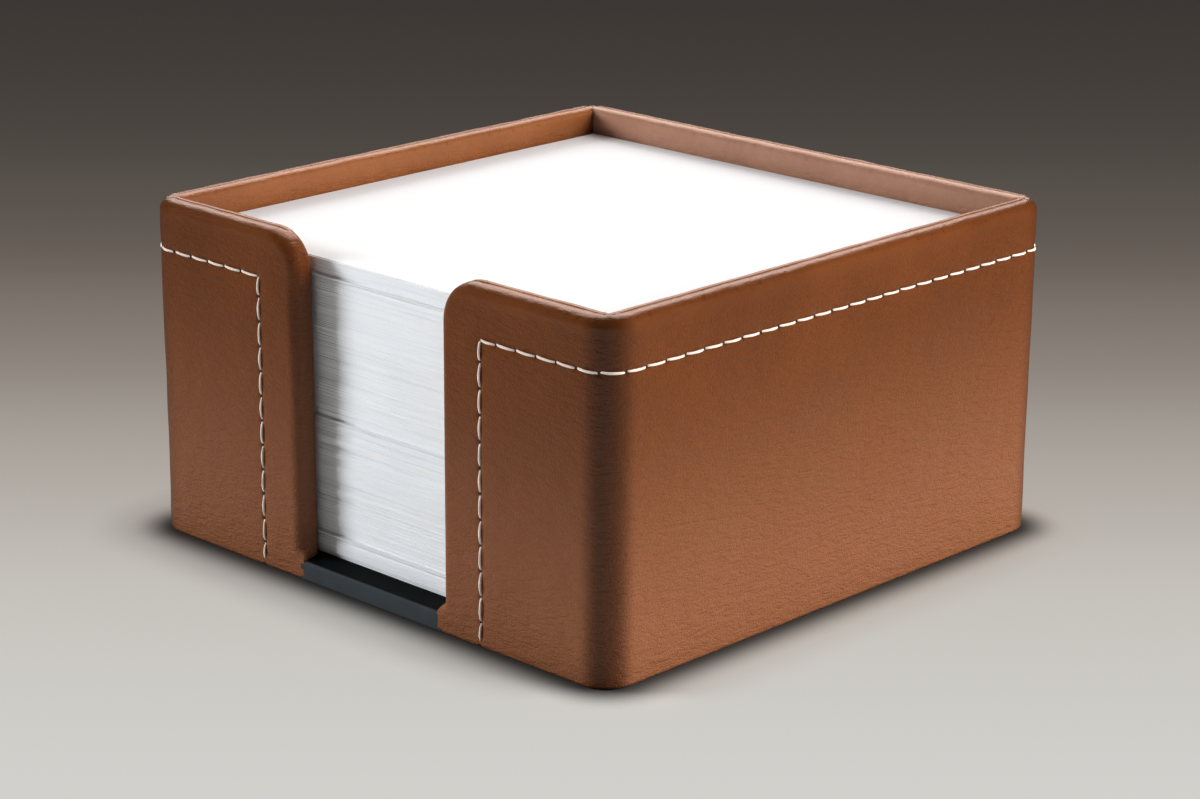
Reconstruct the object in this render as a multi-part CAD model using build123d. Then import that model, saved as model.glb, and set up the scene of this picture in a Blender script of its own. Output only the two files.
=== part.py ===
from build123d import *
import os

# Memo block holder: a square leather-covered tray, open at the top, with a finger slot in
# its front wall and a stack of loose square notes inside.
# Millimetres, +Z up.  The origin is at the centre of the underside.  The slot faces -Y.

# ---- driving dimensions ---------------------------------------------------------------
note_side = 90.0           # a square note sheet
note_gap = 1.0             # room between the notes and the lining, on each side
lining_t = 0.8             # leather on the inside of a wall
board_t = 2.4              # greyboard core of a wall
leather_t = 0.8            # leather on the outside of a wall
wall_height = 54.6         # underside to the top of the rim
corner_r = 5.1             # upright outer corners
inner_corner_r = 0.6       # upright corners of the well
rim_outer_r = 1.9          # rolled outer edge of the rim and of the slot
rim_inner_r = 1.3          # rolled inner edge of the rim and of the slot
foot_r = 0.7               # leather turned round the bottom edge
rim_crease = 2.4           # outside of a wall to the crease where the lining starts

slot_width = 31.3          # finger slot, leather to leather
slot_centre = 0.5          # the slot stands this far off the middle
slot_corner_r = 6.6        # the two upper corners beside the slot
slot_turn_in = 4.0         # outer leather turned in past the end of a front wall
slot_foot_reach = 0.8      # leather left flat at the foot, reaching into the slot
slot_foot_rise = 1.3       # how far that foot climbs above the floor of the well

base_board_t = 1.6         # stiffener of the floor
cover_t = 0.8              # black covering of the floor
felt_t = 0.8               # felt under the floor
turn_under = 9.0           # leather folded under the floor, from the outside of a wall
fold_corner_r = 1.0        # corners of the folded leather's edge and of the felt
fold_gap = 0.3             # edge of the felt to the folded leather
lip_lift = 0.3             # underside to the bottom edge of the black front lip
lip_edge_r = 0.5           # upper front edge of that lip

sheet_t = 0.1              # one note sheet
proud_sheets_t = 0.2       # two sheets together, slid forward from between two sheaves
proud_reach = 0.45         # how far such sheets stand out of the sheaf above them
sheaf_heights = (3.4, 18.3, 22.1, 2.5)
sheaf_shift_x = (0.15, -0.2, 0.1, -0.1)
sheaf_shift_y = (-0.55, -0.3, 0.0, 0.35)
top_sheet_shift = (-0.2, 0.4)

thread_w = 0.55            # width of the sewing thread as it lies
thread_stand = 0.3         # how far it stands out of the leather
stitch_pitch = 3.95        # hole to hole
stitch_hole = 0.55         # bare length at each hole
rim_row_drop = 7.9         # top of the rim to the row that runs round the tray
slot_row_inset = 8.4       # end of a front wall to the row beside the slot
first_stitch = 3.2         # the shorter stitch that starts each row at the slot's corners
row_foot = 0.4             # lowest stitch above the turned bottom edge

# ---- what follows from them -----------------------------------------------------------
well_side = note_side + 2 * note_gap
wall_t = lining_t + board_t + leather_t
outer_side = well_side + 2 * wall_t
core_outer = outer_side - 2 * leather_t
core_inner = well_side + 2 * lining_t
core_inner_r = inner_corner_r + lining_t
outer_half = outer_side / 2
well_half = well_side / 2
core_half = core_outer / 2
board_in = core_inner / 2
floor_z = felt_t + base_board_t + cover_t
slot_left = slot_centre - slot_width / 2
slot_right = slot_centre + slot_width / 2
fold_half = outer_half - turn_under
crease_half = outer_half - rim_crease
rim_row_z = wall_height - rim_row_drop
BEYOND = 2 * outer_side    # longer than anything it cuts
PAST = 1.0                 # how far a cut runs past the face it starts from
NEAR = 0.01                # how close two places count as one
LEFTWARD, RIGHTWARD = -1, 1


def block(x0, x1, y0, y1, z0, z1):
    """A box between two corners."""
    box = Box(x1 - x0, y1 - y0, z1 - z0, align=(Align.MIN, Align.MIN, Align.MIN))
    return Pos(x0, y0, z0) * box


def prism(side, radius, z0, z1):
    """An upright square prism, centred, with rounded corners."""
    return Pos(0, 0, z0) * extrude(RectangleRounded(side, side, radius), z1 - z0)


def slot_cut(inset, top, radius):
    """The finger slot, which curves outwards at its two upper corners.

    inset draws both ends of the slot back into the walls, for the board under the leather.
    """
    left = slot_left - inset
    right = slot_right + inset
    with BuildSketch(Plane.XZ) as profile:
        with BuildLine():
            Polyline((left, top - radius), (left, -PAST), (right, -PAST), (right, top - radius))
            RadiusArc((right, top - radius), (right + radius, top), radius)
            Polyline((right + radius, top), (right + radius, top + PAST),
                     (left - radius, top + PAST), (left - radius, top))
            RadiusArc((left - radius, top), (left, top - radius), radius)
        make_face()
    return extrude(profile.sketch, outer_half + PAST)


def inside_outline(place, side, radius):
    """How far a place lies inside the outline of a square with rounded corners."""
    flat = side / 2 - radius
    over_x = abs(place.X) - flat
    over_y = abs(place.Y) - flat
    if over_x > 0 and over_y > 0:
        return radius - (over_x**2 + over_y**2) ** 0.5
    return radius - max(over_x, over_y)


def free_edges(ring, side, radius, top, inset):
    """Edges on one side of the walls, along the rim and down both ends of the front wall."""
    reach = slot_width / 2 + inset + slot_corner_r + NEAR
    found = []
    for edge in ring.edges():
        middle = edge.position_at(0.5)
        on_this_side = abs(inside_outline(middle, side, radius)) < NEAR
        at_rim = edge.bounding_box().min.Z > top - NEAR
        at_slot = abs(middle.X - slot_centre) < reach and middle.Y < 0 and middle.Z > 2 * NEAR + leather_t
        if on_this_side and (at_rim or at_slot):
            found.append(edge)
    return found


def bevel(radius):
    """How wide a slanting cut is that takes as much off the middle of an edge as a fillet."""
    return radius * (2 - 2**0.5)


def wall_ring(side, radius, hole, hole_r, z0, top, inset):
    """Four walls round the well with the slot cut out, and every free edge eased.

    inset is how deep this ring lies under the leather.  The leather's own edges are rolled over,
    and the boards under it have their edges cut off at a slant, to give it room to turn.
    """
    ring = prism(side, radius, z0, top) - prism(hole, hole_r, z0 - PAST, top + PAST)
    ring = ring - slot_cut(inset, top, slot_corner_r - inset)
    outer_edges = free_edges(ring, side, radius, top, inset)
    if inset > 0:
        ring = chamfer(outer_edges, bevel(rim_outer_r - inset))
        return chamfer(free_edges(ring, hole, hole_r, top, inset), bevel(rim_inner_r - inset))
    ring = fillet(outer_edges, rim_outer_r)
    return fillet(free_edges(ring, hole, hole_r, top, inset), rim_inner_r)


def leather_foot(end, away):
    """Leather left flat at the foot of a front wall's end, under the rolled part.

    end is the slot's end there, and away is the way into the wall along X, 1 or -1.  Its edge
    climbs straight and then sweeps back in a hollow curve to where the roll begins.
    """
    tip = end - away * slot_foot_reach
    roll = end + away * rim_outer_r
    top = floor_z + slot_foot_rise
    hollow_r = slot_foot_reach + rim_outer_r
    half_way = hollow_r * 0.5**0.5
    with BuildSketch(Plane.XZ.offset(outer_half - leather_t)) as profile:
        with BuildLine():
            Polyline((tip, top - hollow_r), (tip, foot_r), (roll, foot_r), (roll, top))
            ThreePointArc((roll, top), (tip + away * half_way, top - half_way), (tip, top - hollow_r))
        make_face()
    return extrude(profile.sketch, leather_t)


# ---- leather, lining and boards --------------------------------------------------------
surface = wall_ring(outer_side, corner_r, well_side, inner_corner_r, 0, wall_height, 0)
core = wall_ring(core_outer, corner_r - leather_t, core_inner, core_inner_r, leather_t,
                 wall_height - leather_t, leather_t)

# One strip of leather runs round the outside.  It is rolled over the rim, round both ends of
# the front wall, and under the floor, and its edge lies against the lining at the crease.
folded_under = prism(outer_side, corner_r, 0, leather_t)
folded_under = folded_under - prism(2 * fold_half, fold_corner_r, -PAST, leather_t + PAST)
folded_under = folded_under - block(slot_left, slot_right, -BEYOND, 0, -PAST, leather_t + PAST)
turned_in = block(slot_left - slot_turn_in, slot_right + slot_turn_in, -BEYOND, 0, 0, BEYOND)
lining_space = prism(2 * crease_half, core_inner_r, floor_z, BEYOND) - turned_in
floor_space = prism(core_inner, core_inner_r, leather_t, floor_z)
foot_edges = (surface + folded_under).edges().filter_by(
    lambda e: abs(e.bounding_box().max.Z) < NEAR
    and abs(inside_outline(e.position_at(0.5), outer_side, corner_r)) < NEAR)
skin = fillet(foot_edges, foot_r)
skin = skin - core - floor_space
feet = [leather_foot(slot_left, LEFTWARD), leather_foot(slot_right, RIGHTWARD)]
outer_leather = skin - lining_space + feet

# The lining meets the outer leather at the crease on top of the rim.  Its panels meet on the
# diagonals of the well, and the front one is in two, one for each side of the slot.
lining_ring = (surface & lining_space) - core


def quarter(turn):
    """The wedge of space in front of one wall, from the middle out past both its corners."""
    wedge = extrude(Polygon((0, 0), (BEYOND, -BEYOND), (BEYOND, BEYOND), align=None), BEYOND)
    return Rot(0, 0, turn) * wedge


right_lining = lining_ring & quarter(0)
rear_lining = lining_ring & quarter(90)
left_lining = lining_ring & quarter(180)
front_lining = lining_ring & quarter(270)
right_half = block(slot_centre, BEYOND, -BEYOND, BEYOND, 0, BEYOND)
front_right_lining = front_lining & right_half
front_left_lining = front_lining - right_half

# The boards meet on the same diagonals, and the front one is cut in two by the slot.
right_board = core & quarter(0)
rear_board = core & quarter(90)
left_board = core & quarter(180)
front_board = core & quarter(270)
front_right_board = front_board & right_half
front_left_board = front_board - right_half

# ---- floor ----------------------------------------------------------------------------
# The floor board fills the foot of the well and has a tongue that fills the foot of the slot.
# Its black covering runs over the tongue, down its front edge and a little way under.
tongue_front = outer_half - cover_t
tongue = block(slot_left, slot_right, -tongue_front, -board_in, leather_t, leather_t + base_board_t)
base_board = prism(core_inner, core_inner_r, leather_t, leather_t + base_board_t) + tongue
cover_sheet = prism(core_inner, core_inner_r, leather_t + base_board_t, floor_z)
cover_tongue = block(slot_left, slot_right, -outer_half, -board_in, leather_t + base_board_t, floor_z)
cover_lip = block(slot_left, slot_right, -outer_half, -tongue_front, lip_lift, floor_z)
cover_under = block(slot_left, slot_right, -tongue_front, -fold_half, lip_lift, leather_t)
base_cover = cover_sheet + cover_tongue + cover_lip + cover_under
lip_edge = [e for e in base_cover.edges()
            if abs(e.position_at(0.5).Y + outer_half) < NEAR and e.position_at(0.5).Z > floor_z - NEAR]
base_cover = fillet(lip_edge, lip_edge_r) - feet
felt_half = fold_half - fold_gap
underside_felt = prism(2 * felt_half, fold_corner_r, 0, felt_t)

# ---- sewing thread --------------------------------------------------------------------
# One row runs round the tray under the rim.  At each side of the slot it turns square and
# runs down to the foot.  Each stitch is a separate length that lies on the leather.
row_left = slot_left - slot_row_inset
row_right = slot_right + slot_row_inset
row_low = rim_row_z - thread_w / 2
row_high = rim_row_z + thread_w / 2


def stitch_places(row):
    """Where the needle went in along a row, as lengths from its first end."""
    count = int((row.length - first_stitch) / stitch_pitch)
    return [first_stitch + stitch_pitch * k for k in range(count + 1)]


thread_band = prism(outer_side + 2 * thread_stand, corner_r + thread_stand, row_low, row_high)
thread_band = thread_band - prism(outer_side, corner_r, row_low - PAST, row_high + PAST)
inside_rows = block(row_left - thread_w / 2, row_right + thread_w / 2, -BEYOND, 0, 0, BEYOND)
thread_band = thread_band - inside_rows
rim_path = FilletPolyline((row_right, -outer_half), (outer_half, -outer_half),
                          (outer_half, outer_half), (-outer_half, outer_half),
                          (-outer_half, -outer_half), (row_left, -outer_half), radius=corner_r)
needle_holes = []
for run in stitch_places(rim_path):
    share = run / rim_path.length
    place = rim_path.position_at(share)
    turn = rim_path.tangent_angle_at(share)
    gap = Box(stitch_hole, 4 * thread_stand, 2 * thread_w)
    needle_holes.append(Pos(place.X, place.Y, rim_row_z) * Rot(0, 0, turn) * gap)
rim_stitching = thread_band - needle_holes


def slot_row(middle):
    """The stitches that run down one side of the slot, below the row round the rim."""
    path = Line((0, row_low), (0, foot_r + row_foot))
    ends = [0.0] + stitch_places(path) + [path.length + stitch_hole / 2]
    stitches = []
    for start, stop in zip(ends, ends[1:]):
        head = row_low - start - (stitch_hole / 2 if start > 0 else 0)
        tail = row_low - stop + stitch_hole / 2
        if head - tail > thread_w:
            stitches.append(block(middle - thread_w / 2, middle + thread_w / 2,
                                  -outer_half - thread_stand, -outer_half, tail, head))
    return stitches


left_slot_stitching = slot_row(row_left)
right_slot_stitching = slot_row(row_right)

# ---- notes ----------------------------------------------------------------------------
# The loose notes lie as four sheaves, each knocked a little out of line with the next.
# Between two sheaves a pair of sheets has slid forward and shows in the slot.
note_half = note_side / 2
stack = {}
proud_sheets = []
level = floor_z
for k, height in enumerate(sheaf_heights):
    shift = Pos(sheaf_shift_x[k], sheaf_shift_y[k], 0)
    stack[f"sheaf_{k + 1}"] = shift * block(-note_half, note_half, -note_half, note_half,
                                            level, level + height)
    level = level + height
    if k + 1 < len(sheaf_heights):
        forward = Pos(sheaf_shift_x[k + 1], sheaf_shift_y[k + 1] - proud_reach, 0)
        proud_sheets.append(forward * block(-note_half, note_half, -note_half, note_half,
                                            level, level + proud_sheets_t))
        level = level + proud_sheets_t
top_note = Pos(top_sheet_shift[0], top_sheet_shift[1], 0) * block(
    -note_half, note_half, -note_half, note_half, level, level + sheet_t)
print(f"top of the notes {level + sheet_t:.2f}, rim {wall_height:.2f}")

# ---- one file for each piece ----------------------------------------------------------
pieces = {
    "outer_leather": outer_leather,
    "left_lining": left_lining,
    "right_lining": right_lining,
    "rear_lining": rear_lining,
    "front_left_lining": front_left_lining,
    "front_right_lining": front_right_lining,
    "left_board": left_board,
    "right_board": right_board,
    "rear_board": rear_board,
    "front_left_board": front_left_board,
    "front_right_board": front_right_board,
    "base_board": base_board,
    "base_cover": base_cover,
    "underside_felt": underside_felt,
    "rim_stitching": rim_stitching,
    "left_slot_stitching": left_slot_stitching,
    "right_slot_stitching": right_slot_stitching,
    "proud_sheets": proud_sheets,
    "top_note": top_note,
    **stack,
}
os.makedirs("parts", exist_ok=True)
for name, shape in pieces.items():
    solids = shape if isinstance(shape, list) else shape.solids()
    whole = solids[0] if len(solids) == 1 else Compound(solids)
    export_step(whole, f"parts/{name}.step")
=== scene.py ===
import math

import bpy
import numpy as np
from mathutils import Matrix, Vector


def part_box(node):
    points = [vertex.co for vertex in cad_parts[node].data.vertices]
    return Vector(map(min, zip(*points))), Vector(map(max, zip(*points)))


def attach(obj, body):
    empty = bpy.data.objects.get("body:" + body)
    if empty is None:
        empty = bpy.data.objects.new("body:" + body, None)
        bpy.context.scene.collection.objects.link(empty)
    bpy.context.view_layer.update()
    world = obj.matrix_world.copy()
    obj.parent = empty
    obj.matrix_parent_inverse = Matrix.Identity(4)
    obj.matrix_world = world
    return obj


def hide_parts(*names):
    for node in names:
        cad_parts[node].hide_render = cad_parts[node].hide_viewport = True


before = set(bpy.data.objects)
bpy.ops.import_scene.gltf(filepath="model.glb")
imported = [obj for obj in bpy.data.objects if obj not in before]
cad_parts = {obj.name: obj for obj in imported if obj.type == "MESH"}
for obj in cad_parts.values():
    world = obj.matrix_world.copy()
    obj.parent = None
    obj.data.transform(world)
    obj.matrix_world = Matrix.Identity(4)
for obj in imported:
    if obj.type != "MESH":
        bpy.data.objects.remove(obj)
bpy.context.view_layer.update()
MM = 0.001


# ---- camera ---------------------------------------------------------------------------------
# A long lens looks down on the holder from in front of its right-hand front corner, so that the
# slotted front is on the left of the picture and the right wall on the right.
LENS, SENSOR = 93.64, 36
NEAREST = 10 * MM
TURN, DOWN, ROLL = math.radians(43.791), math.radians(17.591), math.radians(0.39)
STANDPOINT = (328.69 * MM, -342.51 * MM, 171.76 * MM)
back = np.array((math.sin(TURN) * math.cos(DOWN), -math.cos(TURN) * math.cos(DOWN), math.sin(DOWN)))
level_right = np.array((math.cos(TURN), math.sin(TURN), 0.0))
level_up = np.cross(back, level_right)
cam_right = math.cos(ROLL) * level_right + math.sin(ROLL) * level_up
cam_up = -math.sin(ROLL) * level_right + math.cos(ROLL) * level_up


def placed(name, data):
    """A new object that carries the data, put into the scene."""
    item = bpy.data.objects.new(name, data)
    bpy.context.scene.collection.objects.link(item)
    return item


camera = placed("camera", bpy.data.cameras.new("camera"))
camera.data.lens = LENS
camera.data.sensor_width = SENSOR
camera.data.clip_start = NEAREST
turned = Matrix(np.column_stack((cam_right, cam_up, back)).tolist()).to_4x4()
camera.matrix_world = Matrix.Translation(STANDPOINT) @ turned
bpy.context.scene.camera = camera


# ---- table and light ------------------------------------------------------------------------
# A pale matt table top, darkened behind the holder by a painted fall-off of the light, and with a
# painted contact shadow round the holder's foot.  A soft lamp stands low on the right, a smaller
# and weaker one on the left of the front, and a faint panel behind.  A warm card above lights
# nothing by itself and is only mirrored, as the soft gloss along the rims.
TABLE_REACH = 3.0
# The table's own pale tone, darkened further back by a painted fall-off of the light: where the ramp
# starts and ends, and its stops.
PAINTED_FALLOFF_FROM, PAINTED_FALLOFF_TO = -0.10, 0.50
TABLE_TONES_WITH_PAINTED_FALLOFF = ((0.0, (0.64, 0.63, 0.60)), (0.15, (0.52, 0.49, 0.455)), (0.28, (0.32, 0.285, 0.255)),
               (0.42, (0.16, 0.135, 0.117)), (0.6, (0.078, 0.068, 0.058)), (1.0, (0.042, 0.036, 0.032)))
FOOT_HALF, FOOT_CORNER = 50.0 * MM, 5.1 * MM
SHADOW_END = 20.0 * MM
PAINTED_CONTACT_FROM, PAINTED_CONTACT_TO, PAINTED_CONTACT_TONE = 4.6 * MM, 12.5 * MM, 0.10
AIM, CARD_AIM = (0, 0, 0.03), (0, 0, 0.05)
ROOM_COLOUR, ROOM_STRENGTH = (0.5, 0.5, 0.51, 1), 0.18
bpy.context.scene.view_settings.view_transform = "Standard"


def plain_material(name, colour, roughness):
    """A material with one shader, and its node tree for what is added."""
    material = bpy.data.materials.new(name)
    material.use_nodes = True
    shader = material.node_tree.nodes["Principled BSDF"]
    shader.inputs["Base Color"].default_value = (*colour, 1)
    shader.inputs["Roughness"].default_value = roughness
    return material, material.node_tree, shader


def wire(tree, kind, inputs=(), **settings):
    """Adds one node; inputs pairs a socket with a value or with the socket that feeds it."""
    node = tree.nodes.new(kind)
    for key, value in settings.items():
        setattr(node, key, value)
    for socket, value in dict(inputs).items():
        if isinstance(value, bpy.types.NodeSocket):
            tree.links.new(value, node.inputs[socket])
        else:
            node.inputs[socket].default_value = value
    return node


def sums(tree, operation, *values):
    """One Math node's result."""
    return wire(tree, "ShaderNodeMath", enumerate(values), operation=operation).outputs[0]


def vectors(tree, operation, *values):
    """One Vector Math node's results: the vector first, and the number under "Value"."""
    return wire(tree, "ShaderNodeVectorMath", enumerate(values), operation=operation).outputs


def band(tree, value, low, high, to_low=0.0, to_high=1.0):
    """A smooth step of a value from low to high."""
    inputs = {"Value": value, "From Min": low, "From Max": high, "To Min": to_low, "To Max": to_high}
    return wire(tree, "ShaderNodeMapRange", inputs, interpolation_type="SMOOTHSTEP").outputs[0]


table_mesh = bpy.data.meshes.new("table_top")
table_mesh.from_pydata([(-TABLE_REACH, -TABLE_REACH, 0), (TABLE_REACH, -TABLE_REACH, 0),
                        (TABLE_REACH, TABLE_REACH, 0), (-TABLE_REACH, TABLE_REACH, 0)],
                       [], [(0, 1, 2, 3)])
table_top = placed("table_top", table_mesh)
table_finish, tree, shader = plain_material("table_paint", (0.58, 0.57, 0.545), 0.7)
shader.inputs["Specular IOR Level"].default_value = 0.0
place = wire(tree, "ShaderNodeTexCoord").outputs["Object"]
behind = vectors(tree, "DOT_PRODUCT", place, (-math.sin(TURN), math.cos(TURN), 0))["Value"]
reach = wire(tree, "ShaderNodeMapRange",
             {"Value": behind, "From Min": PAINTED_FALLOFF_FROM, "From Max": PAINTED_FALLOFF_TO}).outputs[0]
shade = wire(tree, "ShaderNodeValToRGB", {0: reach})
shade.color_ramp.interpolation = "CARDINAL"
for _ in TABLE_TONES_WITH_PAINTED_FALLOFF[2:]:
    shade.color_ramp.elements.new(0.5)
for stop, (reached, tone) in zip(shade.color_ramp.elements, TABLE_TONES_WITH_PAINTED_FALLOFF):
    stop.position = reached
    stop.color = (*tone, 1)
# The table glows in its own tone where the camera or a mirror sees it, but not close to the
# holder, where it is only lit and keeps the shadow, and where a painted contact shadow darkens its
# colour.  The distance from the foot is
# past = length(max(|place| - (half - corner), 0)), which is the corner's radius at the foot.
inset = FOOT_HALF - FOOT_CORNER
beyond = vectors(tree, "SUBTRACT", vectors(tree, "ABSOLUTE", place)[0], (inset, inset, 1))[0]
past = vectors(tree, "LENGTH", vectors(tree, "MAXIMUM", beyond, (0, 0, 0))[0])["Value"]
fade = band(tree, past, FOOT_CORNER, SHADOW_END, 0.0, 0.98)
# Painted contact shadow: the table's colour is darkened close to the holder's foot.
painted_contact_shadow = band(tree, past, PAINTED_CONTACT_FROM, PAINTED_CONTACT_TO, PAINTED_CONTACT_TONE, 1.0)
tone_under_painted_shadow = wire(tree, "ShaderNodeVectorMath", {0: shade.outputs[0], "Scale": painted_contact_shadow}, operation="SCALE")
tree.links.new(tone_under_painted_shadow.outputs[0], shader.inputs["Base Color"])
rays = wire(tree, "ShaderNodeLightPath").outputs
seen = rays["Is Camera Ray"]
for other in ("Is Glossy Ray", "Is Transmission Ray"):
    seen = sums(tree, "MAXIMUM", seen, rays[other])
glow = wire(tree, "ShaderNodeEmission", {"Color": shade.outputs[0]})
mixed = wire(tree, "ShaderNodeMixShader",
             {0: sums(tree, "MULTIPLY", seen, fade), 1: shader.outputs[0], 2: glow.outputs[0]})
tree.links.new(mixed.outputs[0], tree.nodes["Material Output"].inputs["Surface"])
table_mesh.materials.append(table_finish)


def lamp(name, place, aim, size, watts, colour):
    """A square soft lamp at a place, facing another place.

    Its third axis points away from the aim, its first is level, and its second is their cross.
    """
    data = bpy.data.lights.new(name, "AREA")
    data.size = size
    data.energy = watts
    data.color = colour
    backward = np.array(place) - np.array(aim)
    backward = backward / np.linalg.norm(backward)
    across = np.cross((0, 0, 1), backward)
    across = across / np.linalg.norm(across)
    axes = np.column_stack((across, np.cross(backward, across), backward))
    item = placed(name, data)
    item.matrix_world = Matrix.Translation(place) @ Matrix(axes.tolist()).to_4x4()
    return item


key = lamp("low_right", (0.74, 0.55, 0.40), AIM, 0.7, 17.6, (1.0, 0.98, 0.955))
fill = lamp("left_of_front", (-0.72, -0.58, 0.38), AIM, 0.32, 9.5, (0.95, 0.975, 1.0))
rear = lamp("behind", (-0.74, 0.82, 0.34), AIM, 1.0, 8.0, (1.0, 0.98, 0.96))
for unmirrored in (key, fill, rear):
    unmirrored.visible_glossy = False
card = lamp("card_for_gloss", (-0.47, 0.42, 0.77), CARD_AIM, 1.0, 17.0, (1.0, 0.79, 0.69))
card.visible_diffuse = False
world = bpy.data.worlds.new("room")
world.use_nodes = True
room_light = world.node_tree.nodes["Background"]
room_light.inputs["Color"].default_value = ROOM_COLOUR
room_light.inputs["Strength"].default_value = ROOM_STRENGTH
bpy.context.scene.world = world


# ---- outer leather --------------------------------------------------------------------------
# One strip of tan leather, glued round the boards and sewn.  It is rolled over the rim as far as
# the crease, round both ends of the front wall, and folded under the floor.  Sizes are in mm.
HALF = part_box("outer_leather")[1][0] / MM
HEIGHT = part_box("outer_leather")[1][2] / MM
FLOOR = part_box("base_cover")[1][2] / MM
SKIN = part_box("underside_felt")[1][2] / MM
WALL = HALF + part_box("left_lining")[1][0] / MM
SLOT_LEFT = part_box("front_left_board")[1][0] / MM + SKIN
SLOT_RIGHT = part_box("front_right_board")[0][0] / MM - SKIN
CORNER_R, SLOT_R, FOOT_R = 5.1, 6.6, 0.7
ROLL_OUT, ROLL_IN = 1.9, 1.3
CREASE, TURN_IN, FOLD = 2.4, 4.0, 9.0
ROUND_OUT = ROLL_OUT * math.pi / 2
ROUND_IN = ROLL_IN * math.pi / 2
LAND = WALL - ROLL_OUT - ROLL_IN
CORNER_RUN = CORNER_R * math.pi / 2
FRONT_RIGHT = HALF - CORNER_R - SLOT_RIGHT
FRONT_LEFT = SLOT_LEFT + HALF - CORNER_R
SIDE_RUN = 2 * (HALF - CORNER_R)
AROUND = FRONT_RIGHT + FRONT_LEFT + 3 * SIDE_RUN + 4 * CORNER_RUN
# The little flat foot beside the floor's lip: how far it reaches into the slot, how tall its
# flare into the rolled end is, and where along the roll it starts and is fully flat.
FOOT_REACH, FLARE = 0.8, 1.8
FLAT_START, FLAT_FULL = -2.6, -1.1
# Where a lining lies on the leather, the leather is pared thinner, on the side and on the top.
PARED_SIDE, PARED_TOP, PARED_EDGE = 0.3, 0.35, 0.6
# The stitch rows: drop below the rim, inset from the slot's ends, first hole, hole to hole.
ROW_DROP, ROW_INSET = 7.9, 8.4
ROW_HEIGHT = HEIGHT - ROW_DROP
FIRST_STITCH, PITCH = 3.2, 3.95


def smooth(value, low, high):
    """0 below low, 1 above high, and an even S-curve between them."""
    t = np.clip((value - low) / (high - low), 0, 1)
    return t * t * (3 - 2 * t)


def ripple(u, v, length, seed):
    """Gentle uneven waves of about one height: a sum of twelve sines in mixed directions."""
    dice = np.random.default_rng(seed)
    total = np.zeros(np.broadcast(u, v).shape)
    for _ in range(12):
        angle, phase = dice.uniform(0, 2 * math.pi, 2)
        wave = 2 * math.pi / (length * dice.uniform(0.6, 1.7))
        total += np.sin((u * math.cos(angle) + v * math.sin(angle)) * wave + phase)
    return total / 4


def around_outline(run):
    """Place and outward direction on the outer face, a run along it from the slot's right end.

    Four quarter turns and the straights between them: each piece adds its own length or its own
    turn.  The last straight is the front's left part, and goes on to the tip of its foot.
    """
    starts = FRONT_RIGHT + np.arange(4) * (SIDE_RUN + CORNER_RUN)
    turned = np.clip((run[..., None] - starts) / CORNER_RUN, 0, 1)
    angle = turned.sum(-1) * math.pi / 2 - math.pi / 2
    normal = np.stack((np.cos(angle), np.sin(angle)), -1)
    x = np.minimum(run, FRONT_RIGHT) + SLOT_RIGHT
    y = np.full_like(x, -HALF)
    for k, straight in enumerate((SIDE_RUN, SIDE_RUN, SIDE_RUN, FRONT_LEFT + FOOT_REACH)):
        heading = k * math.pi / 2
        bend = turned[..., k] * math.pi / 2
        x = x + CORNER_R * (np.sin(heading + bend) - math.sin(heading))
        y = y + CORNER_R * (math.cos(heading) - np.cos(heading + bend))
        heading = heading + math.pi / 2
        ahead = np.clip(run - starts[k] - CORNER_RUN, 0, straight)
        x = x + ahead * math.cos(heading)
        y = y + ahead * math.sin(heading)
    return np.stack((x, y), -1), normal


def rolled(level, under):
    """How a free edge is rolled over: reach in from the edge, and depth into the wall.

    level is measured along the leather and is 0 where the flat outer face ends.  Below 0 come a
    quarter turn, the land on top of the wall, a smaller quarter turn, and the inner face.
    under moves the place that far below the surface.
    """
    a = np.clip(-level / ROLL_OUT, 0, math.pi / 2)
    land = np.clip(-level - ROUND_OUT, 0, LAND)
    b = np.clip((-level - ROUND_OUT - LAND) / ROLL_IN, 0, math.pi / 2)
    rest = np.clip(-level - ROUND_OUT - LAND - ROUND_IN, 0, None)
    reach = ROLL_OUT * (1 - np.sin(a)) + ROLL_IN * (1 - np.cos(b)) + rest + np.clip(level, 0, None)
    depth = ROLL_OUT * (1 - np.cos(a)) + land + ROLL_IN * np.sin(b)
    lean = a + b
    return reach + under * np.sin(lean), depth + under * np.cos(lean)


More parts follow.
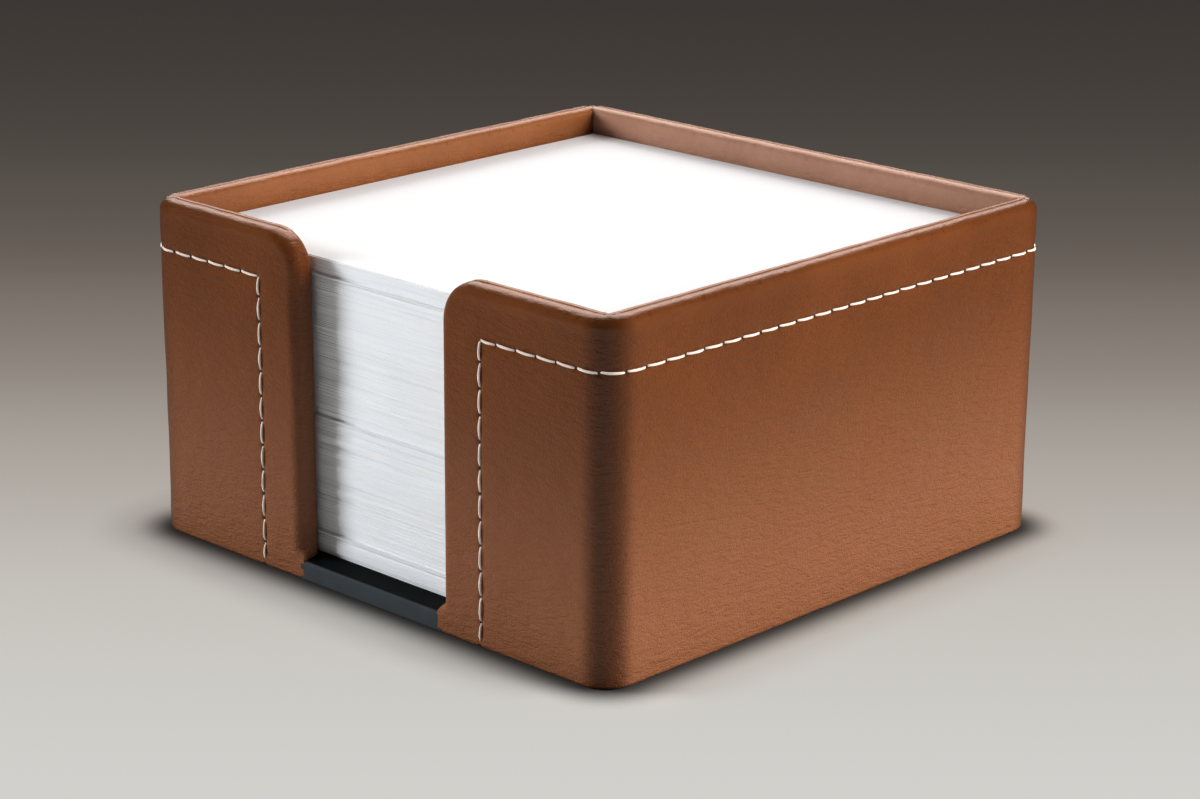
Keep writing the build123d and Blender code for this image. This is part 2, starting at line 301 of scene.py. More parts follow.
def leather_place(column, row, under):
    """Places of the strip in the wall's frame: run along the walls, depth into them, height.

    column and row are distances from the slot's end and from the rim, and run on below 0 round
    the rolls.  The nearer of both edges sets how far a place is rolled.  Within the rounded upper
    corner of a front wall a place lies on a circle's radius, at the slope that its share gives.
    """
    near = np.minimum(column, AROUND - column)
    level = np.minimum(near, row) - ROLL_OUT
    reach, depth = rolled(level, under)
    edge = level + ROLL_OUT
    beside = near <= row
    further = np.where(beside, row, near)
    share = np.clip((further - edge) / (SLOT_R - edge), 0, 1)
    slope = math.pi / 4 * (1 - share)
    bend = SLOT_R - reach
    far = np.where(further >= SLOT_R, further, SLOT_R - bend * np.sin(slope))
    close = np.where(further >= SLOT_R, reach, SLOT_R - bend * np.cos(slope))
    from_end = np.where(beside, close, far)
    from_rim = np.where(beside, far, close)
    from_end = np.where((near >= SLOT_R) & ~beside, near, from_end)
    # the flat foot beside the lip
    flat = smooth(FLOOR + FLARE - (HEIGHT - from_rim), 0, FLARE) * smooth(near, FLAT_START, FLAT_FULL)
    from_end = from_end * (1 - flat) + np.maximum(near, -FOOT_REACH) * flat
    depth = depth * (1 - flat) + (np.clip(-FOOT_REACH - near, 0, SKIN) + under) * flat
    # pared under the linings
    tuck = smooth(from_end, TURN_IN - 0.3, TURN_IN + 2.6) * smooth(depth, CREASE - 0.25, CREASE + 0.3)
    on_top = smooth(ROLL_IN - from_rim, 0, PARED_EDGE)
    depth = depth - PARED_SIDE * tuck * (1 - on_top)
    from_rim = from_rim + PARED_TOP * tuck * on_top
    run = np.where(column < AROUND / 2, from_end, AROUND - from_end)
    # a quarter turn at the foot, and the fold under the floor
    foot = np.clip(from_rim - (HEIGHT - FOOT_R), 0, None)
    curl = np.clip(foot / FOOT_R, 0, math.pi / 2)
    folded = np.clip(foot - FOOT_R * math.pi / 2, 0, None)
    z = np.minimum(from_rim, HEIGHT - FOOT_R) + FOOT_R * np.sin(curl)
    depth = depth + np.where(foot > 0, FOOT_R * (1 - np.cos(curl)) + folded, 0)
    height = HEIGHT - z + np.where(foot > 0, under * np.sin(curl), 0)
    depth = depth + np.where(foot > 0, under * (np.cos(curl) - 1), 0)
    return run, depth, height


def to_space(run, depth, height):
    """Turns a run along the walls, a depth into them and a height into a place."""
    ground, normal = around_outline(run)
    flat = ground - normal * depth[..., None]
    return np.concatenate((flat, height[..., None]), -1)


def grid_normals(grid):
    """Outward direction at each place of a grid: the cross of its two neighbouring steps."""
    down = np.gradient(grid, axis=0)
    along = np.gradient(grid, axis=1)
    normal = np.cross(down, along)
    return normal / np.maximum(np.linalg.norm(normal, axis=-1, keepdims=True), 1e-9)


def steps(*stretches):
    """Evenly divided stretches, one after another: (start, stop, largest step)."""
    parts = [np.linspace(a, b, max(int(math.ceil((b - a) / s)), 1), endpoint=False)
             for a, b, s in stretches]
    return np.append(np.concatenate(parts), stretches[-1][1])


def tube_mesh(name, ring, marks=None):
    """A closed mesh from rows that run round in a ring, with both ends capped.

    ring is rows x columns x 3, in millimetres; marks gives each place its two map coordinates.
    The faces are turned if the signed volume comes out negative.
    """
    rows, columns = ring.shape[:2]
    index = np.arange(rows * columns).reshape(rows, columns)
    below = np.roll(index, -1, axis=0)
    quads = np.stack((index[:, :-1], below[:, :-1], below[:, 1:], index[:, 1:]), -1).reshape(-1, 4)
    first, last = index[:, 0], index[::-1, -1]
    places = ring.reshape(-1, 3)
    corners = places[quads]
    spread = np.cross(corners[:, 1] - corners[:, 0], corners[:, 3] - corners[:, 0])
    if (corners[:, 0] * spread).sum() < 0:
        quads, first, last = quads[:, ::-1], first[::-1], last[::-1]
    mesh = bpy.data.meshes.new(name)
    mesh.from_pydata((places * MM).tolist(), [], quads.tolist() + [first.tolist(), last.tolist()])
    mesh.shade_smooth()
    if marks is not None:
        wanted = np.zeros(len(mesh.loops), dtype=np.int32)
        mesh.loops.foreach_get("vertex_index", wanted)
        layer = mesh.uv_layers.new(name="along_and_up")
        layer.data.foreach_set("uv", marks.reshape(-1, 2)[wanted].ravel())
    return placed(name, mesh)


# The grid of the strip: columns are closest round the ends and beside the slot's stitch rows,
# rows are closest over the rim and at the foot.  At the slot's ends the strip goes on round the
# roll and inside, and elsewhere it stops on the land, just under the linings.
END_INSIDE, ON_LAND = 5.4, 1.1
DEEPEST = -(ROUND_OUT + LAND + ROUND_IN + END_INSIDE - ROLL_IN) + ROLL_OUT
SHALLOW = -(ROUND_OUT + ON_LAND) + ROLL_OUT
BEFORE_ROW, AFTER_ROW = 7.4, 9.4
end_columns = steps((DEEPEST, FLAT_START, 0.6), (FLAT_START, ROLL_OUT, 0.25),
                    (ROLL_OUT, BEFORE_ROW, 0.6), (BEFORE_ROW, AFTER_ROW, 0.3))
long_columns = steps((AFTER_ROW, AROUND / 2, 0.62))
columns = np.concatenate((end_columns[:-1], long_columns[:-1],
                          AROUND - long_columns[::-1], AROUND - end_columns[::-1][1:]))
under_row = ROW_DROP - ROLL_OUT + 2.2
foot_line = HEIGHT - FOOT_R - ROLL_OUT
face_rows = steps((0, 1, 0.1), (1, under_row, 0.4), (under_row, foot_line - 4.5, 0.85),
                  (foot_line - 4.5, foot_line, 0.45))
near_end = np.minimum(columns, AROUND - columns)
first_row = DEEPEST + (SHALLOW - DEEPEST) * smooth(near_end, 4.5, 8.5)
roll_rows = first_row + (ROLL_OUT - first_row) * np.linspace(0, 1, 22, endpoint=False)[:, None]
foot_rows = steps((0.2, FOOT_R * math.pi / 2, 0.25), (FOOT_R * math.pi / 2, FOLD, 2.5))
rest_rows = np.append(face_rows + ROLL_OUT, HEIGHT - FOOT_R + foot_rows)
rows = np.vstack((roll_rows, np.repeat(rest_rows[:, None], len(columns), 1)))
column_grid = np.broadcast_to(columns, rows.shape)
run, depth, height = leather_place(column_grid, rows, np.zeros(rows.shape))
face = to_space(run, depth, height)
outward = grid_normals(face)
half_way = len(rows) // 2
if (outward[half_way, :, :2] * around_outline(run)[1][half_way]).sum() < 0:
    outward = -outward

# Relief of the glued and sewn leather: long swells on the faces, a groove and a wider hollow
# where the thread pulls it down, small waves along the rim, and pleats where it rounds a corner.
GROOVE_WIDE, HOLLOW_WIDE = 0.55, 1.6
GROOVE_DEEP, HOLLOW_DEEP = 0.10, 0.07
RIM_SUNK = 0.06
PLEAT_SPREAD, PLEAT_DEEP = 2.6, 0.16
rim_line = np.abs(height - ROW_HEIGHT)
from_slot = np.minimum(run, AROUND - run)
slot_line = np.abs(from_slot - ROW_INSET)
on_rim_row = smooth(from_slot, ROW_INSET - 0.6, ROW_INSET)
on_slot_row = smooth(ROW_HEIGHT - height, -0.6, 0)
groove, hollow = (np.maximum(np.exp(-(rim_line / wide)**2) * on_rim_row,
                             np.exp(-(slot_line / wide)**2) * on_slot_row)
                  for wide in (GROOVE_WIDE, HOLLOW_WIDE))
on_face = smooth(height, 1.0, 3.0) * smooth(depth, 0.4, 0.0) * smooth(near_end, -0.7, 0.5)
swell = 0.07 * ripple(run, height, 26, 3) + 0.025 * ripple(run, height, 6, 4)
lift = on_face * (swell - GROOVE_DEEP * groove - HOLLOW_DEEP * hollow)
on_rim = smooth(height, HEIGHT - 2.2, HEIGHT - 0.6)
bend_middles = FRONT_RIGHT + CORNER_RUN / 2 + np.arange(4) * (SIDE_RUN + CORNER_RUN)
to_corner = np.abs(run[..., None] - bend_middles).min(-1)
pleat = np.exp(-(to_corner / PLEAT_SPREAD)**2) * smooth(depth, 0.5, 2.2) * smooth(depth, 2.9, 2.3)
lift += on_rim * (0.035 * ripple(run, depth, 9, 5) + 0.012 * ripple(run, depth, 3, 6) - RIM_SUNK)
lift += on_rim * pleat * PLEAT_DEEP * np.cos(to_corner * 2.6)
face = face + outward * lift[..., None]
face[..., 2] = np.clip(face[..., 2], 0, HEIGHT)

# The hidden side of the strip, a little less than the skin's thickness below, closes the ring.
inner_rows = np.array((ROLL_OUT - ROUND_OUT, ROLL_OUT, 20.0, HEIGHT - 8, HEIGHT - FOOT_R,
                       HEIGHT - FOOT_R + FOOT_R * math.pi / 2, HEIGHT - FOOT_R + FOLD))
hidden = np.vstack((first_row, np.repeat(inner_rows[:, None], len(columns), 1)))
hidden_columns = np.broadcast_to(columns, hidden.shape)
inner = to_space(*leather_place(hidden_columns, hidden, np.full(hidden.shape, SKIN * 0.9)))
marks = np.stack((run, height), -1)
hidden_marks = np.repeat(marks[-1:], len(hidden), 0)
ring = np.vstack((face, inner[::-1]))
outer_leather = tube_mesh("tan_leather_wrap", ring, np.vstack((marks, hidden_marks)))


def tinted(tree, share, first, second):
    """A mix of two colours, each a value or a socket."""
    node = wire(tree, "ShaderNodeMix", {0: share}, data_type="RGBA")
    for socket, value in ((6, first), (7, second)):
        if isinstance(value, bpy.types.NodeSocket):
            tree.links.new(value, node.inputs[socket])
        else:
            node.inputs[socket].default_value = (*value, 1)
    return node.outputs[2]


def millimetres(tree, stretch=(1, 1, 1)):
    """The place on the piece in millimetres, stretched where a pattern runs one way."""
    place = wire(tree, "ShaderNodeTexCoord").outputs["Object"]
    scale = tuple(1000 * s for s in stretch)
    return wire(tree, "ShaderNodeMapping", {"Vector": place, "Scale": scale}).outputs[0]


def cloud(tree, vector, scale, detail=3.0, rough=0.55):
    """A noise pattern with so many cells to the millimetre."""
    inputs = {"Vector": vector, "Scale": scale, "Detail": detail, "Roughness": rough}
    return wire(tree, "ShaderNodeTexNoise", inputs).outputs[0]


def pebbles(tree, vector, scale):
    """Distance from the nearest edge of a cell pattern, so many cells to the millimetre."""
    inputs = {"Vector": vector, "Scale": scale}
    return wire(tree, "ShaderNodeTexVoronoi", inputs, feature="DISTANCE_TO_EDGE").outputs["Distance"]


def bumped(tree, shader, height, strength, distance):
    """Lets a height pattern tilt the surface of a shader."""
    node = wire(tree, "ShaderNodeBump", {"Height": height, "Strength": strength, "Distance": distance})
    tree.links.new(node.outputs[0], shader.inputs["Normal"])


def times(tree, value, factor):
    """A value made so many times as large."""
    return sums(tree, "MULTIPLY", value, factor)


def needle_hole(tree, across, along):
    """Distance from the nearest needle hole of a row: along counts from the first of them."""
    beat = sums(tree, "PINGPONG", sums(tree, "DIVIDE", along, PITCH), 0.5)
    to_hole = times(tree, beat, PITCH)
    squares = sums(tree, "ADD", sums(tree, "POWER", to_hole, 2.0), sums(tree, "POWER", across, 2.0))
    return sums(tree, "SQRT", squares)


# Colours and sizes of the finish.  Towards the foot the colour is painted lighter and paler, a
# painted reflection and bounce of the pale table; along the four upright bends it is painted dark
# as shade; the needle holes are painted dark as their shade; the rim is rubbed smooth.
TAN_DARK, TAN_LIGHT = (0.107, 0.026, 0.003), (0.157, 0.040, 0.005)
HOLE_SHADE_COLOUR = (0.026, 0.011, 0.006)
PAINTED_BOUNCE_TIMES, PAINTED_BOUNCE_PALER = 1.5, (0.054, 0.051, 0.043)
PAINTED_BOUNCE_FROM, PAINTED_BOUNCE_SHARE, PAINTED_BOUNCE_WANDER = 48.0, 0.80, 14.0
BEND_SHADE_TIMES, BEND_SHADE_START, BEND_SHADE_FULL, BEND_SHADE_SHARE = 0.62, 5.0, 1.0, 0.8
HOLE_EDGE, HOLE_R, DIMPLE_R, DIMPLE_DEEP = 0.36, 0.20, 0.8, 3.0
PEBBLE_CELLS, PORE_CELLS = 2.1, 5.0
MATT, GLOSSIEST, RUBBED = 0.50, 0.38, 0.13
GRAIN_STRENGTH, RIM_GRAIN_STRENGTH, GRAIN_HEIGHT = 0.62, 0.2, 0.12 * MM


def leather_finish(name, dark, light, sewn):
    """Smooth dyed leather: cloudy colour, fine pebbled grain, soft creases and a waxed gloss."""
    material, tree, shader = plain_material(name, light, 0.4)
    place = millimetres(tree)
    clouds = cloud(tree, place, 0.045, 4.0)
    mottle = cloud(tree, place, 0.8, 3.0)
    share = sums(tree, "ADD", band(tree, clouds, 0.3, 0.7, 0.0, 0.7),
                 band(tree, mottle, 0.3, 0.75, 0.0, 0.3))
    colour = tinted(tree, share, dark, light)
    rise = wire(tree, "ShaderNodeSeparateXYZ", {0: place}).outputs[2]
    # Painted reflection and bounce of the pale table: the colour grows lighter and paler towards the foot.
    painted_bounce_level = sums(tree, "ADD", rise, times(tree, sums(tree, "SUBTRACT", clouds, 0.5), PAINTED_BOUNCE_WANDER))
    painted_bounce_colour = tuple(PAINTED_BOUNCE_TIMES * c + paler for c, paler in zip(light, PAINTED_BOUNCE_PALER))
    colour = tinted(tree, band(tree, painted_bounce_level, PAINTED_BOUNCE_FROM, 0.0, 0.0, PAINTED_BOUNCE_SHARE), colour, painted_bounce_colour)
    grain = sums(tree, "MINIMUM", times(tree, pebbles(tree, place, PEBBLE_CELLS), 3.0), 0.6)
    grain = sums(tree, "ADD", grain, times(tree, cloud(tree, place, PORE_CELLS, 2.0), 0.25))
    creases = cloud(tree, millimetres(tree, (0.25, 0.25, 0.75)), 0.8, 4.0, 0.6)
    creases = sums(tree, "ABSOLUTE", sums(tree, "SUBTRACT", creases, 0.5))
    height = sums(tree, "ADD", grain, times(tree, band(tree, creases, 0.0, 0.10), 0.9))
    wrinkles = cloud(tree, millimetres(tree, (0.5, 0.5, 1.8)), 0.9, 2.0, 0.5)
    height = sums(tree, "ADD", height, times(tree, wrinkles, 3.0))
    if sewn:
        uv = wire(tree, "ShaderNodeUVMap", uv_map="along_and_up").outputs[0]
        split = wire(tree, "ShaderNodeSeparateXYZ", {0: uv})
        along, up = split.outputs[0], split.outputs[1]
        from_end = sums(tree, "MINIMUM", along, sums(tree, "SUBTRACT", AROUND, along))
        rim_hole = needle_hole(tree, sums(tree, "SUBTRACT", up, ROW_HEIGHT),
                               sums(tree, "SUBTRACT", along, ROW_INSET + FIRST_STITCH))
        rim_hole = sums(tree, "ADD", rim_hole, sums(tree, "LESS_THAN", from_end, ROW_INSET - 0.5))
        slot_hole = needle_hole(tree, sums(tree, "SUBTRACT", from_end, ROW_INSET),
                                sums(tree, "SUBTRACT", ROW_HEIGHT - FIRST_STITCH, up))
        slot_hole = sums(tree, "ADD", slot_hole, sums(tree, "GREATER_THAN", up, ROW_HEIGHT + 0.5))
        hole = sums(tree, "MINIMUM", rim_hole, slot_hole)
        # Painted shade: the colour is darkened along the four upright bends.
        first_bend, between_bends = FRONT_RIGHT + CORNER_RUN / 2, SIDE_RUN + CORNER_RUN
        beat = sums(tree, "DIVIDE", sums(tree, "SUBTRACT", along, first_bend), between_bends)
        to_bend = times(tree, sums(tree, "PINGPONG", beat, 0.5), between_bends)
        painted_bend_shade_colour = tuple(BEND_SHADE_TIMES * c for c in dark)
        painted_bend_shade = band(tree, to_bend, BEND_SHADE_START, BEND_SHADE_FULL, 0.0, BEND_SHADE_SHARE)
        colour = tinted(tree, painted_bend_shade, colour, painted_bend_shade_colour)
        # Painted shade in the needle holes.
        colour = tinted(tree, band(tree, hole, HOLE_EDGE, HOLE_R), colour, HOLE_SHADE_COLOUR)
        dimple = times(tree, band(tree, hole, DIMPLE_R, 0.1), DIMPLE_DEEP)
        height = sums(tree, "SUBTRACT", height, dimple)
    tree.links.new(colour, shader.inputs["Base Color"])
    rubbed = band(tree, rise, HEIGHT - 3.0, HEIGHT - 0.8, 0.0, RUBBED)
    rough = sums(tree, "SUBTRACT", band(tree, mottle, 0.2, 0.8, GLOSSIEST, MATT), rubbed)
    tree.links.new(rough, shader.inputs["Roughness"])
    stretched = band(tree, rise, HEIGHT - 4.0, HEIGHT - 1.2, GRAIN_STRENGTH, RIM_GRAIN_STRENGTH)
    bumped(tree, shader, height, stretched, GRAIN_HEIGHT)
    shader.inputs["Specular IOR Level"].default_value = 0.40
    shader.inputs["Specular Tint"].default_value = (1.0, 0.92, 0.86, 1)
    return material


outer_leather.data.materials.append(leather_finish("tan_leather", TAN_DARK, TAN_LIGHT, True))
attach(outer_leather, "holder")
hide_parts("outer_leather")


# ---- linings --------------------------------------------------------------------------------
# Five panels of the same leather cover the inside of the walls; the rear one is painted paler, as
# lit.  Each starts in the crease on top of the rim, rolls over the inner edge and runs down to the
# floor, and they meet in the corners.
LINING_DARK, LINING_LIGHT = (0.195, 0.061, 0.017), (0.262, 0.087, 0.027)
# The rear panel: the same leather painted paler, as lit.
REAR_PAINTED_LIT_DARK, REAR_PAINTED_LIT_LIGHT = (0.33, 0.16, 0.10), (0.42, 0.22, 0.145)
lining_leather = leather_finish("lining_leather", LINING_DARK, LINING_LIGHT, False)
lining_painted_lit_rear = leather_finish("lining_painted_lit_rear", REAR_PAINTED_LIT_DARK, REAR_PAINTED_LIT_LIGHT, False)
PANEL_COLUMNS = 110
EASED, EASED_WIDE = 0.10, 0.35


def lining_panel(name, node, quarter_turns, start, stop, seed):
    """One lining panel along a wall, from start to stop of the wall's half length.

    start and stop are lengths from the wall's middle, or None where the panel ends in a corner,
    mitred there: the deeper a place lies in the wall, the longer the panel is.  The profile of
    depth and drop is carried along the wall, with its columns crowded towards both ends, then
    pressed a little uneven, eased back at the ends, and lowered along the rounded slot corner.
    """
    a = np.linspace(0, math.pi / 2, 9)
    lip = np.array([(CREASE + 0.02, 0.5), (CREASE + 0.06, 0.22), (CREASE + 0.16, 0.06)])
    rim = np.stack((WALL - ROLL_IN + ROLL_IN * np.sin(a), ROLL_IN * (1 - np.cos(a))), -1)
    drop = steps((ROLL_IN + 0.4, 8.0, 0.5), (8.0, HEIGHT - FLOOR, 1.6))
    wall_part = np.stack((np.full(len(drop), WALL), drop), -1)
    behind = np.array([(WALL - SKIN, HEIGHT - FLOOR), (WALL - SKIN, 2.0), (WALL - SKIN * 1.3, 1.2),
                       (CREASE + 0.1, 0.8)])
    profile = np.vstack((lip, rim, wall_part, behind))
    share = np.linspace(0, 1, PANEL_COLUMNS)
    share = 0.5 - 0.5 * np.cos(share * math.pi) * (0.6 + 0.4 * np.abs(np.cos(share * math.pi)))
    depth = profile[:, :1]
    low = np.full_like(depth, start) if start is not None else -(HALF - depth)
    high = np.full_like(depth, stop) if stop is not None else HALF - depth
    along = low + (high - low) * share
    drop = profile[:, 1:] + np.zeros_like(along)
    front = np.arange(len(profile)) < len(lip) + len(rim) + len(wall_part)
    to_end = np.minimum(along - low, high - along)
    press = 0.04 * ripple(along, drop, 18, seed) + 0.02 * ripple(along, drop, 3.5, seed + 1)
    ease = EASED * np.exp(-(to_end / EASED_WIDE)**2)
    pressed = press * smooth(drop, 0.2, 2.0) * smooth(to_end, 0, 1.5)
    depth = depth + front[:, None] * (pressed - ease * smooth(drop, 0.6, 1.6))
    waver = (0.03 * ripple(along, along * 0, 9, seed + 2) + 0.05) * smooth(to_end, 0, 2)
    drop = drop + front[:, None] * smooth(1.2 - drop, 0, 0.8) * (waver + ease)
    if start is not None or stop is not None:
        edge = SLOT_RIGHT if start is not None else SLOT_LEFT
        gap = np.abs(along - edge)
        fall = SLOT_R - np.sqrt(np.maximum(SLOT_R**2 - np.clip(SLOT_R - gap, 0, None)**2, 0))
        drop = drop + fall * smooth(12 - drop, 0, 8)
    x, y = along, -(HALF - depth) + np.zeros_like(along)
    turn = quarter_turns * math.pi / 2
    ring = np.stack((x * math.cos(turn) - y * math.sin(turn), x * math.sin(turn) + y * math.cos(turn),
                     np.clip(HEIGHT - drop, FLOOR, HEIGHT)), -1)
    panel = tube_mesh(name, ring)
    panel.data.materials.append(lining_painted_lit_rear if quarter_turns == 2 else lining_leather)
    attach(panel, "holder")
    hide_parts(node)


lining_panel("lining_front_right", "front_right_lining", 0, SLOT_RIGHT + TURN_IN, None, 21)
lining_panel("lining_front_left", "front_left_lining", 0, None, SLOT_LEFT - TURN_IN, 31)
lining_panel("lining_right", "right_lining", 1, None, None, 41)
lining_panel("lining_rear", "rear_lining", 2, None, None, 51)
lining_panel("lining_left", "left_lining", 3, None, None, 61)


# ---- sewing thread --------------------------------------------------------------------------
# Cream waxed thread, twisted from three strands.  Each stitch comes out of one needle hole, lies
# on the leather and goes down the next, and leans a little out of the row.
THREAD_R, HOLE_GAP, LEAN = 0.205, 0.13, 0.07
STITCH_RISE, STITCH_SUNK = 0.55, 0.475
STRANDS, TWIST, STRAND_SWELL = 3, 2.4, 0.10
LAST_HOLE = 0.75


def stitch_rings(start, stop, level, upright):
    """One stitch as rings of places: a bent rod whose ends dive into the leather.

    start and stop are where it goes in, along the row; level is where the row lies across it.
    The radius swells once for each strand, and the swelling turns along the rod.
    """
    share = 0.5 - 0.5 * np.cos(np.pi * np.linspace(0, 1, 13))
    ahead = math.copysign(HOLE_GAP, stop - start)
    run = start + ahead + (stop - start - 2 * ahead) * share
    rise = STITCH_RISE * np.clip(np.sin(np.pi * share), 0, 1)**0.35 - STITCH_SUNK
    lean = LEAN * (1 - 2 * share)
    if upright:
        centre_run, centre_up = level + lean * 0.6, run
    else:
        centre_run, centre_up = run, level + lean
    around = np.linspace(0, 2 * np.pi, 9)[:-1]
    twist = around[:, None] * STRANDS + run * TWIST
    radius = THREAD_R * (1 + STRAND_SWELL * np.cos(twist)) * (0.80 + 0.20 * np.sin(np.pi * share))
    sideways = radius * np.cos(around)[:, None]
    above = rise + radius * np.sin(around)[:, None] * 0.9
    if upright:
        return centre_run + sideways, -above, centre_up + np.zeros_like(sideways)
    return centre_run + np.zeros_like(sideways), -above, centre_up + sideways


thread_finish, tree, shader = plain_material("cream_thread", (0.70, 0.60, 0.47), 0.55)
place = millimetres(tree)
fleck = cloud(tree, place, 2.2, 3.0)
flecked = tinted(tree, band(tree, fleck, 0.3, 0.7), (0.93, 0.75, 0.64), (0.98, 0.86, 0.77))
tree.links.new(flecked, shader.inputs["Base Color"])
bumped(tree, shader, cloud(tree, place, 9.0, 2.0), 0.3, 0.05 * MM)
shader.inputs["Sheen Weight"].default_value = 0.3


def sew(name, node, holes, level, upright):
    """All stitches of one row, joined as one piece of many closed rods."""
    places, faces = [], []
    for start, stop in zip(holes, holes[1:]):
        rods = to_space(*stitch_rings(start, stop, level, upright))
        around, length = rods.shape[:2]
        index = len(places) * around * length + np.arange(around * length).reshape(around, length)
        beside = np.roll(index, -1, axis=0)
        quads = np.stack((index[:, :-1], index[:, 1:], beside[:, 1:], beside[:, :-1]), -1).reshape(-1, 4)
        places.append(rods.reshape(-1, 3))
        ends = [index[:, 0].tolist(), index[::-1, -1].tolist()]
        if upright:
            faces += quads[:, ::-1].tolist() + [end[::-1] for end in ends]
        else:
            faces += quads.tolist() + ends
    mesh = bpy.data.meshes.new(name)
    mesh.from_pydata((np.concatenate(places) * MM).tolist(), [], faces)
    mesh.shade_smooth()
    mesh.materials.append(thread_finish)
    row = placed(name, mesh)
    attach(row, "holder")
    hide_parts(node)


rim_holes = np.append(ROW_INSET, np.arange(ROW_INSET + FIRST_STITCH, AROUND - ROW_INSET - 1, PITCH))
rim_holes = np.append(rim_holes, AROUND - ROW_INSET)
drops = np.arange(FIRST_STITCH, ROW_HEIGHT - 2, PITCH)
slot_holes = ROW_HEIGHT - np.concatenate(((0,), drops, (ROW_HEIGHT - LAST_HOLE,)))
sew("stitches_round_rim", "rim_stitching", rim_holes, ROW_HEIGHT, False)
sew("stitches_right_of_slot", "right_slot_stitching", slot_holes, ROW_INSET, True)
sew("stitches_left_of_slot", "left_slot_stitching", slot_holes, AROUND - ROW_INSET, True)


# ---- boards, floor and felt -----------------------------------------------------------------
# Hidden greyboard carries the leather.  The floor has a black grained covering that comes out
# through the slot as a front lip, its front painted paler as lit and the rest painted near-black as
# shaded, and black felt under it.
BOARDS = ("left_board", "right_board", "rear_board", "front_left_board", "front_right_board", "base_board")
LIP_PAINTED_LIT_START, LIP_PAINTED_LIT_FULL = -49.5, -49.9


def dress(node, finish):
    """Gives a solid that stays as it is its finish."""
    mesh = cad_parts[node].data
    mesh.materials.clear()
    mesh.materials.append(finish)


board_finish, tree, shader = plain_material("greyboard", (0.42, 0.40, 0.37), 0.85)
pulp = cloud(tree, millimetres(tree), 1.5, 4.0)
tree.links.new(tinted(tree, pulp, (0.36, 0.34, 0.31), (0.48, 0.46, 0.43)), shader.inputs["Base Color"])
for board in BOARDS:
    dress(board, board_finish)

cover_finish, tree, shader = plain_material("black_cover", (0.035, 0.04, 0.043), 0.75)
shader.inputs["Specular IOR Level"].default_value = 0.06
place = millimetres(tree)
forward = wire(tree, "ShaderNodeSeparateXYZ", {0: place}).outputs[1]
# Painted light and shade: the lip's front is painted paler as lit, the rest near-black as shaded.
lip_front_painted_lit = band(tree, forward, LIP_PAINTED_LIT_START, LIP_PAINTED_LIT_FULL)
bumped(tree, shader, pebbles(tree, place, 2.2), 0.5, 0.1 * MM)
lip_painted_lit_tone = tinted(tree, cloud(tree, place, 0.3, 3.0), (0.044, 0.052, 0.057), (0.064, 0.074, 0.081))
tree.links.new(tinted(tree, lip_front_painted_lit, (0.005, 0.006, 0.007), lip_painted_lit_tone), shader.inputs["Base Color"])
dress("base_cover", cover_finish)

felt_finish, tree, shader = plain_material("black_felt", (0.02, 0.02, 0.021), 0.95)
fuzz = cloud(tree, millimetres(tree), 3.0, 5.0, 0.7)
tree.links.new(tinted(tree, fuzz, (0.012, 0.012, 0.013), (0.05, 0.05, 0.052)), shader.inputs["Base Color"])
bumped(tree, shader, fuzz, 0.8, 0.2 * MM)
shader.inputs["Sheen Weight"].default_value = 0.4
dress("underside_felt", felt_finish)


# ---- notes ----------------------------------------------------------------------------------
# Several hundred loose white sheets, each its own thin slab.  They lie a little out of line, as
# handled paper does, and in three places a pair of sheets stands forward of the rest.
SHEET, SHEET_FILL = 0.1, 0.94
JOG, SLOW_DRIFT, SKEW, CUT_WAVER = 0.055, 0.14, 0.0006, 0.05
PINCH, PINCH_REACH, NO_PAIR_ABOVE = 0.45, 0.5, 9.0
FRONT_PLACES, SIDE_PLACES = 19, 5
TOP_PAPER = (0.90, 0.915, 0.935)
paper_finish, tree, shader = plain_material("white_paper", (0.83, 0.84, 0.85), 0.8)
streaks = cloud(tree, millimetres(tree, (0.06, 0.06, 6.0)), 1.0, 3.0, 0.6)
streaked = tinted(tree, band(tree, streaks, 0.28, 0.5), (0.82, 0.855, 0.90), (0.95, 0.96, 0.975))
facing = wire(tree, "ShaderNodeSeparateXYZ", {0: wire(tree, "ShaderNodeTexCoord").outputs["Normal"]})
flat_side = sums(tree, "ABSOLUTE", facing.outputs[2])
tree.links.new(tinted(tree, flat_side, streaked, TOP_PAPER), shader.inputs["Base Color"])
# The proud sheets: the same paper painted brighter, as lit.
proud_paper_painted_lit, tree, shader = plain_material("proud_paper_painted_lit", (0.96, 0.965, 0.975), 0.8)
cut = cloud(tree, millimetres(tree, (0.3, 0.3, 5.0)), 1.0, 2.0)
tree.links.new(tinted(tree, cut, (0.92, 0.93, 0.94), (0.98, 0.985, 0.99)), shader.inputs["Base Color"])


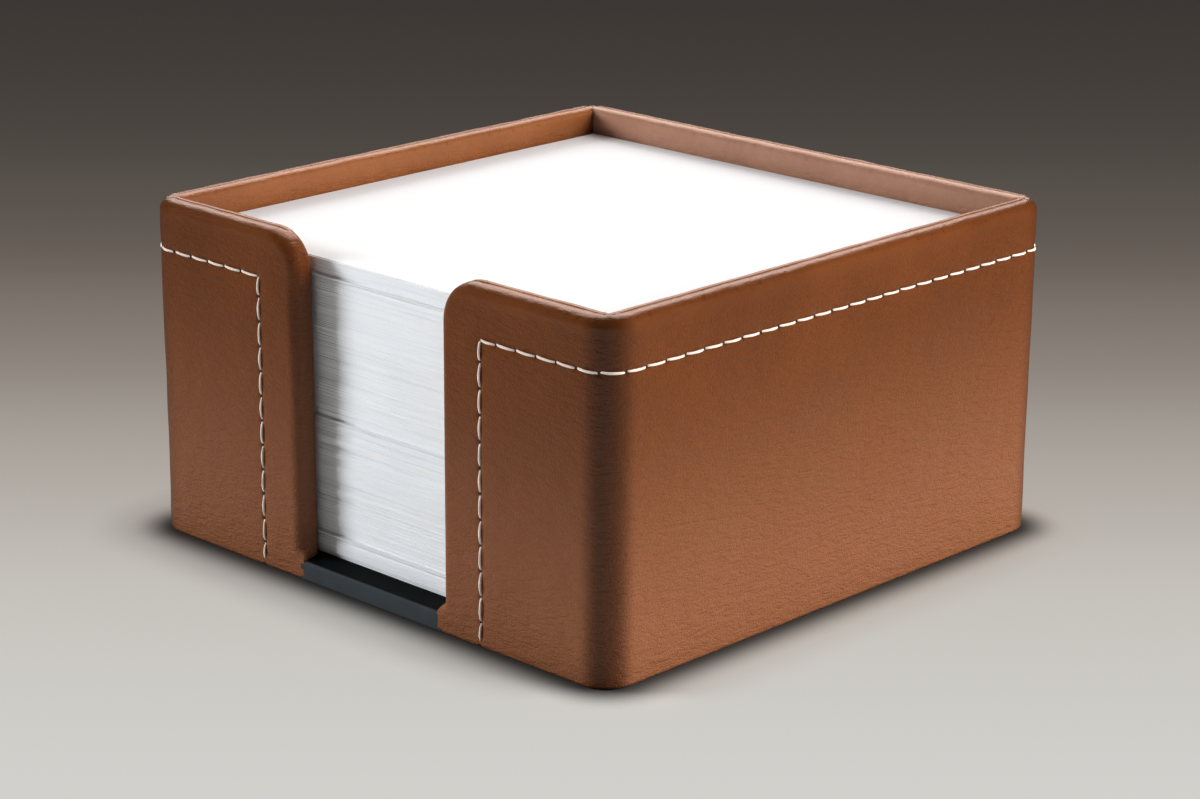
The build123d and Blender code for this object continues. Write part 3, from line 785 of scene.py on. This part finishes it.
def sheets(name, node, body, count, drift, seed):
    """A sheaf of sheets that fills its solid's height.

    Each sheet is a rectangle with a slightly uneven cut edge.  It is shifted by a slow drift
    through the sheaf, shared by its neighbours, and by a small jog of its own.  Close to a proud
    pair of sheets the edges draw back a little.
    """
    low, high = (np.array(corner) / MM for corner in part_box(node))
    dice = np.random.default_rng(seed)
    level = low[2] + (high[2] - low[2]) * np.arange(count) / count
    thick = (high[2] - low[2]) / count
    jog = dice.normal(0, JOG, (count, 2)) * drift
    slow = np.stack((ripple(level, level * 0, 3.5, seed + 1), ripple(level, level * 0, 2.4, seed + 2)), -1)
    slow = slow * SLOW_DRIFT * drift
    turn = dice.normal(0, SKEW, count) * drift
    front, front_ones = np.linspace(-1, 1, FRONT_PLACES), np.ones(FRONT_PLACES)
    side, side_ones = np.linspace(-1, 1, SIDE_PLACES + 2)[1:-1], np.ones(SIDE_PLACES)
    edge_x = np.concatenate((front, side_ones, -front, -side_ones))
    edge_y = np.concatenate((-front_ones, side, front_ones, -side))
    middle, half = (low + high) / 2, (high - low) / 2
    above_next = NO_PAIR_ABOVE if node in ("sheaf_4", "top_note") else high[2] - level
    pinch = PINCH * drift * (np.exp(-((level - low[2]) / PINCH_REACH)**2)
                             + np.exp(-(above_next / PINCH_REACH)**2))
    x = middle[0] + (half[0] - pinch[:, None]) * edge_x + jog[:, :1] + slow[:, :1]
    y = middle[1] + (half[1] - pinch[:, None]) * edge_y + jog[:, 1:] + slow[:, 1:]
    y = y + CUT_WAVER * drift * ripple(edge_x * 45, level[:, None], 14, seed + 3)
    x, y = x - y * turn[:, None], y + x * turn[:, None]
    lower = np.stack((x, y, level[:, None] + 0 * x), -1)
    upper = lower + np.array((0, 0, thick * SHEET_FILL))
    around = len(edge_x)
    slab = np.stack((lower, upper), 1).reshape(-1, 3)
    base = np.arange(around)
    after = np.roll(base, -1)
    wall = np.stack((base, after, after + around, base + around), -1)
    faces = []
    for k in range(count):
        shift = k * 2 * around
        faces += (wall + shift).tolist()
        faces += [(base[::-1] + shift).tolist(), (base + around + shift).tolist()]
    mesh = bpy.data.meshes.new(name)
    mesh.from_pydata((slab * MM).tolist(), [], faces)
    mesh.materials.append(paper_finish)
    sheaf = placed(name, mesh)
    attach(sheaf, body)
    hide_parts(node)


for number in (1, 2, 3, 4):
    node = f"sheaf_{number}"
    tall = (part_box(node)[1][2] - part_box(node)[0][2]) / MM
    sheets(f"notes_{number}", node, "note_stack", round(tall / SHEET), 1.0, 100 * number)
dress("proud_sheets", proud_paper_painted_lit)
sheets("top_note_sheet", "top_note", "top_sheet", 1, 0.3, 700)
